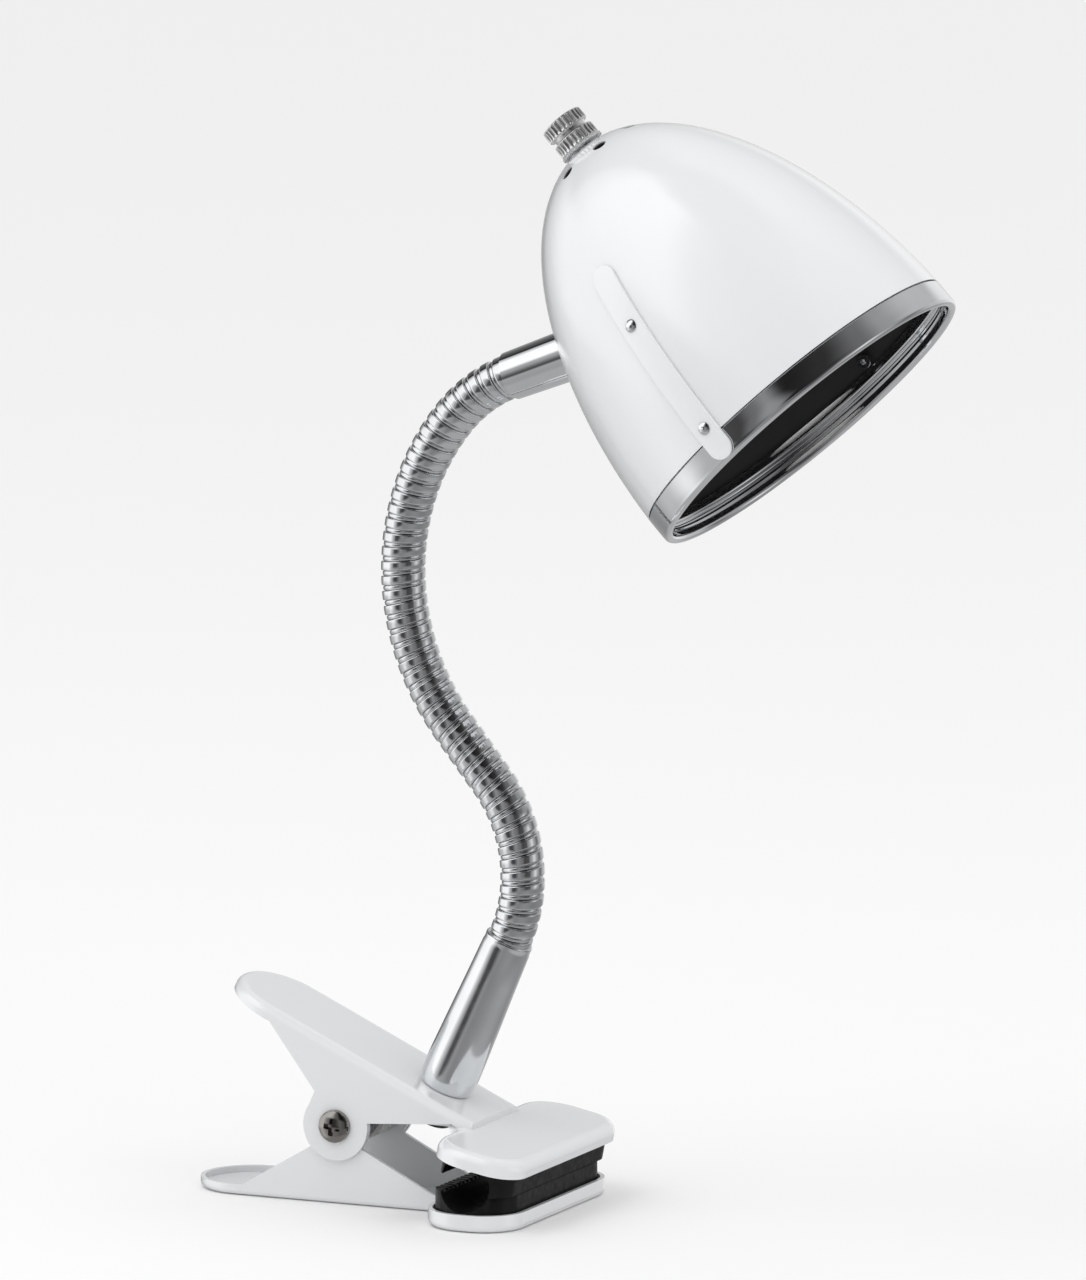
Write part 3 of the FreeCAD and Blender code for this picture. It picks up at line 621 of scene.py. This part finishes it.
def build_knobs():
    low = SHADE_HEIGHT + 1.0
    wave = knurl(28, 0.42, low + 0.1, low + 3.5, 0.55)
    mesh = lathe("ring_nut_knurled", drum_profile(4.95, 6.1, low, low + 3.6, 0.45), 28 * 8, SHADE,
                 wave, 28)
    piece("ring_nut_knurled", mesh, "knurled_aluminium", "head", ["ring_nut"])

    low = SHADE_HEIGHT + 4.8
    profile = [(2.0, low), (4.6, low)] + arc(4.6, low + 0.3, 0.3, -90, 0, 3)
    profile += [(4.9, low + 1.1), (5.1, low + 1.3)]
    drum = drum_profile(2.0, 6.1, low + 1.3, low + 4.9, 0.5)
    profile += drum[1:-2]
    profile += [(5.0, low + 4.92), (4.75, low + 5.15), (3.2, low + 5.2), (2.9, low + 5.0),
                (0.01, low + 5.0), (0.01, low + 3.5), (2.0, low + 3.5)]
    wave = knurl(28, 0.42, low + 1.35, low + 4.85, 0.55)
    mesh = lathe("switch_knob_knurled", profile, 28 * 8, SHADE, wave, 28)
    piece("switch_knob_knurled", mesh, "knurled_aluminium", "switch", ["switch_knob"])

    low = SHADE_HEIGHT + 0.1

    def rib(angle, r, z):
        return r - 0.25 * (0.5 + 0.5 * math.cos(angle * 36)) if r > 6.0 else r

    profile = [(5.05, low), (6.2, low), (6.4, low + 0.15), (6.4, low + 0.75), (6.2, low + 0.9),
               (5.05, low + 0.9)]
    piece("apex_washer_ribbed", lathe("apex_washer_ribbed", profile, 288, SHADE, rib),
          "clear_plastic", "head", ["apex_washer"])


build_base_tube()
build_rim_ring()
build_liner()
build_strap(-1, "shade_strap_right", "strap_right")
build_strap(1, "shade_strap_left", "strap_left")
build_knobs()


# ------------------------------------------------------------------ spring

def build_spring():
    """The clamp's torsion spring, one end with each lever."""
    wire, coil = SPRING["wire"], SPRING["coil"]
    lean = math.radians(LEVER_PITCH)
    under = LEVER_RISE - 1.2 - wire - 0.1
    lower = Vector((-25.0, 0, -PIVOT.z / MM + 1.2 + wire + 0.1))
    upper = Vector((-30.0 * math.cos(lean) + under * math.sin(lean), 0,
                    under * math.cos(lean) + 30.0 * math.sin(lean)))
    begin = math.atan2(lower.z, lower.x) + math.acos(coil / lower.length)
    finish = math.atan2(upper.z, upper.x) - math.acos(coil / upper.length)
    turns = SPRING["turns"] + ((finish - begin) / (2 * math.pi)) % 1
    top, bottom = SPRING["y"], SPRING["y"] - SPRING["pitch"] * turns
    points = [Vector((lower.x, top, lower.z))]
    steps = int(36 * turns)
    for i in range(steps + 1):
        angle = begin + 2 * math.pi * turns * i / steps
        y = top + (bottom - top) * i / steps
        points.append(Vector((coil * math.cos(angle), y, coil * math.sin(angle))))
    points.append(Vector((upper.x, bottom, upper.z)))
    points = [PIVOT + p * MM for p in points]
    mesh = tube("torsion_spring", points, wire * MM, 16)
    made = piece("torsion_spring", mesh, "spring_steel", replaces=["clamp_spring"])
    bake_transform(made)


build_spring()


# ------------------------------------------------------------------ pivot screw

def build_screw():
    """The pivot screw: a domed head with a sunk cross, and its shank through the ears."""
    head_r, head_h, shank_r, face, end = 4.5, 2.6, 2.5, -15.3, 21.0
    arm, reach, slope, sunk = 0.7, 2.3, 0.25, 1.3
    cells = 72
    turn = Matrix.Rotation(math.radians(8), 4, "Y")

    def inside(across, along):
        return min((arm - abs(across)) / slope, (reach - abs(along)) / slope, 1.0)

    points = []
    for i in range(cells + 1):
        for j in range(cells + 1):
            u, v = 2 * i / cells - 1, 2 * j / cells - 1
            x = head_r * u * math.sqrt(1 - v * v / 2)
            z = head_r * v * math.sqrt(1 - u * u / 2)
            dome = math.sqrt(max(0.0, 1 - (x * x + z * z) / head_r ** 2))
            cut = max(0.0, inside(x, z), inside(z, x))
            points.append((x, face - 0.8 - (head_h - 0.8) * dome + sunk * cut, z))
    faces = [(a, a + 1, a + cells + 2, a + cells + 1)
             for i in range(cells) for a in range(i * (cells + 1), i * (cells + 1) + cells)]
    size = cells + 1
    edge = list(range(cells))
    edge += [i * size + cells for i in range(cells)]
    edge += [cells * size + j for j in range(cells, 0, -1)]
    edge += [i * size for i in range(cells, 0, -1)]
    rings = [edge]
    for radius, y in ((head_r, face), (shank_r, face), (shank_r, end - 0.4), (shank_r - 0.4, end)):
        ring = []
        for index in edge:
            x, _, z = points[index]
            scale = radius / math.hypot(x, z)
            ring.append(len(points))
            points.append((x * scale, y, z * scale))
        rings.append(ring)
    count = len(edge)
    for ring, following in zip(rings, rings[1:]):
        faces += [(ring[k], ring[(k + 1) % count], following[(k + 1) % count], following[k])
                  for k in range(count)]
    faces.append(tuple(rings[-1]))
    placed = [PIVOT + turn @ (Vector(point) * MM) for point in points]
    mesh = mesh_of("pivot_screw_domed", placed, faces, 35.0)
    piece("pivot_screw_domed", mesh, "dark_nickel", "lower_jaw", ["pivot_screw"])


build_screw()


# ------------------------------------------------------------------ CAD nodes that stay

BEVELS = {
    "upper_pad": 0.4, "lower_pad": 0.3, "pivot_nut": 0.35, "base_nut": 0.3, "tube_nut": 0.3,
    "lock_nut": 0.3, "head_bracket": 0.2, "spring_drum": 0.3,
    "shade_rivets": 0.1,
}


def dress_nodes():
    for row in RECORD["subparts"]:
        node = NODES[row["node"]]
        node.data.materials.clear()
        node.data.materials.append(MATERIALS[row["material_slot"]])
        if row["node"] in BEVELS:
            weld = node.modifiers.new("weld", "WELD")
            weld.merge_threshold = 1e-6
            bevel = node.modifiers.new("bevel", "BEVEL")
            bevel.width = BEVELS[row["node"]] * MM
            bevel.segments = 2
            bevel.limit_method = "ANGLE"
            bevel.angle_limit = math.radians(35)
            bevel.use_clamp_overlap = True
            bevel.harden_normals = True


dress_nodes()


# ------------------------------------------------------------------ stage, light, camera

AIM = Vector((0.0080, 0.0, 0.1553))
AZIMUTH = math.radians(24.5)
ELEVATION = math.radians(10.4)
DISTANCE = 12.0
VIEW_HEIGHT = 0.3418
BACK = Vector((math.sin(AZIMUTH) * math.cos(ELEVATION), -math.cos(AZIMUTH) * math.cos(ELEVATION),
               math.sin(ELEVATION)))


def build_camera():
    data = bpy.data.cameras.new("camera")
    data.sensor_width = 36.0
    data.lens = 36.0 * DISTANCE / VIEW_HEIGHT
    data.clip_start = 0.5
    data.clip_end = 40.0
    camera = bpy.data.objects.new("camera", data)
    camera.location = AIM + BACK * DISTANCE
    camera.rotation_euler = (-BACK).to_track_quat("-Z", "Y").to_euler()
    bpy.context.scene.collection.objects.link(camera)
    bpy.context.scene.camera = camera


def build_floor():
    mesh = bpy.data.meshes.new("floor")
    size = 9.0
    mesh.from_pydata([(-size, -size, 0), (size, -size, 0), (size, size, 0), (-size, size, 0)],
                     [], [(0, 1, 2, 3)])
    g = Graph("floor")
    g.set(Roughness=0.7, Specular_IOR_Level=0.1)
    g.colour(g.mix(g.noise(400.0, 2.0), grey(0.93), grey(0.915)))
    mesh.materials.append(g.material)
    floor = bpy.data.objects.new("floor", mesh)
    floor.location.z = -0.0002
    floor.visible_glossy = False
    bpy.context.scene.collection.objects.link(floor)


def area_light(name, azimuth, elevation, distance, size, power):
    """A softbox that faces the lamp, placed by its direction from it."""
    a, e = math.radians(azimuth), math.radians(elevation)
    way = Vector((math.sin(a) * math.cos(e), -math.cos(a) * math.cos(e), math.sin(e)))
    data = bpy.data.lights.new(name, "AREA")
    data.shape = "RECTANGLE"
    data.size, data.size_y = size
    data.energy = power
    light = bpy.data.objects.new(name, data)
    light.location = AIM + way * distance
    light.rotation_euler = (-way).to_track_quat("-Z", "Y").to_euler()
    light.visible_glossy = False
    bpy.context.scene.collection.objects.link(light)


# What chrome sees round the studio, as (azimuth from +X in degrees, brightness).
WALLS = [(-180, 1.15), (-145, 1.20), (-136, 0.74), (-127, 0.42), (-117, 0.08), (-104, 0.06),
         (-96, 0.16), (-86, 0.30), (-64, 0.20), (-48, 0.07), (-30, 0.09), (-16, 0.36),
         (4, 0.80), (20, 0.40), (38, 0.18), (62, 0.55), (98, 0.90), (122, 0.40), (136, 0.10),
         (152, 0.35), (180, 1.15)]
# The softbox above the camera's left, and the open room elsewhere.
CEILING = [(-180, 0.70), (-165, 1.20), (-122, 1.30), (-100, 0.30), (-76, 0.015), (-50, 0.03),
           (-12, 0.16), (20, 0.34), (60, 0.55), (110, 0.45), (150, 0.10), (168, 0.02),
           (180, 0.70)]
# The lower walls and the edge of the floor.
SKIRTING = [(-180, 0.60), (-152, 0.95), (-128, 0.50), (-104, 0.36), (-84, 0.26), (-44, 0.30),
            (0, 0.25), (60, 0.30), (100, 0.50), (140, 0.28), (180, 0.60)]


# Heights, as the sine of elevation, over which one zone fades into the next.
CEILING_EDGE = (0.22, 0.40)
ZENITH_EDGE = (0.93, 0.985)
SKIRTING_EDGE = (-0.29, -0.17)
FLOOR_EDGE = (-0.75, -0.55)
ZENITH_MIRRORED = 0.08
FLOOR_MIRRORED = 0.45
# The light that falls on everything, from the horizon to overhead, and the plain backdrop.
HORIZON_TONE = 0.74
ZENITH_TONE = 1.03
BACKDROP_TONE = 0.84


def build_world():
    """A pale studio for light, and walls with soft bands for chrome to mirror."""
    world = bpy.data.worlds.new("studio")
    world.use_nodes = True
    bpy.context.scene.world = world
    tree = world.node_tree
    background = tree.nodes["Background"]

    def made(kind, **values):
        node = tree.nodes.new(kind)
        for key, value in values.items():
            setattr(node, key, value)
        return node

    def bands(stops, value, low, high):
        """Brightness read from stops along a value that runs from low to high."""
        spread = made("ShaderNodeMapRange")
        spread.inputs["From Min"].default_value = low
        spread.inputs["From Max"].default_value = high
        tree.links.new(value, spread.inputs["Value"])
        ramp = made("ShaderNodeValToRGB")
        ramp.color_ramp.interpolation = "EASE"
        elements = ramp.color_ramp.elements
        for place, _ in stops[1:-1]:
            elements.new((place - stops[0][0]) / (stops[-1][0] - stops[0][0]))
        for element, (_, tone) in zip(elements, stops):
            element.color = grey(tone)
        tree.links.new(spread.outputs["Result"], ramp.inputs["Fac"])
        return ramp.outputs["Color"]

    def between(value, low, high, a, b):
        share = made("ShaderNodeMapRange")
        share.interpolation_type = "SMOOTHSTEP"
        share.inputs["From Min"].default_value = low
        share.inputs["From Max"].default_value = high
        tree.links.new(value, share.inputs["Value"])
        return blend(share.outputs["Result"], a, b)

    def blend(factor, a, b):
        mix = made("ShaderNodeMix", data_type="RGBA")
        tree.links.new(factor, mix.inputs["Factor"])
        for socket, value in ((mix.inputs[6], a), (mix.inputs[7], b)):
            if isinstance(value, tuple):
                socket.default_value = value
            else:
                tree.links.new(value, socket)
        return mix.outputs[2]

    split = made("ShaderNodeSeparateXYZ")
    tree.links.new(made("ShaderNodeTexCoord").outputs["Generated"], split.inputs["Vector"])
    turn = made("ShaderNodeMath", operation="ARCTAN2")
    tree.links.new(split.outputs["Y"], turn.inputs[0])
    tree.links.new(split.outputs["X"], turn.inputs[1])
    height = split.outputs["Z"]
    walls, ceiling, skirting = (bands(stops, turn.outputs[0], -math.pi, math.pi)
                                for stops in (WALLS, CEILING, SKIRTING))
    room = between(height, *CEILING_EDGE, walls, ceiling)
    room = between(height, *ZENITH_EDGE, room, grey(ZENITH_MIRRORED))
    room = between(height, *SKIRTING_EDGE, skirting, room)
    room = between(height, *FLOOR_EDGE, grey(FLOOR_MIRRORED), room)
    open_sky = between(height, 0.0, 1.0, grey(HORIZON_TONE), grey(ZENITH_TONE))
    seen = made("ShaderNodeLightPath")
    mirrored = blend(seen.outputs["Is Glossy Ray"], open_sky, room)
    shown = blend(seen.outputs["Is Camera Ray"], mirrored, grey(BACKDROP_TONE))
    tree.links.new(shown, background.inputs["Color"])


build_camera()
build_floor()
build_world()
area_light("key", -40, 58, 1.3, (0.9, 0.9), 2.8)
area_light("fill", 75, 50, 1.4, (0.8, 1.0), 1.8)
bpy.context.scene.view_settings.view_transform = "Standard"
bpy.context.scene.view_settings.look = "None"
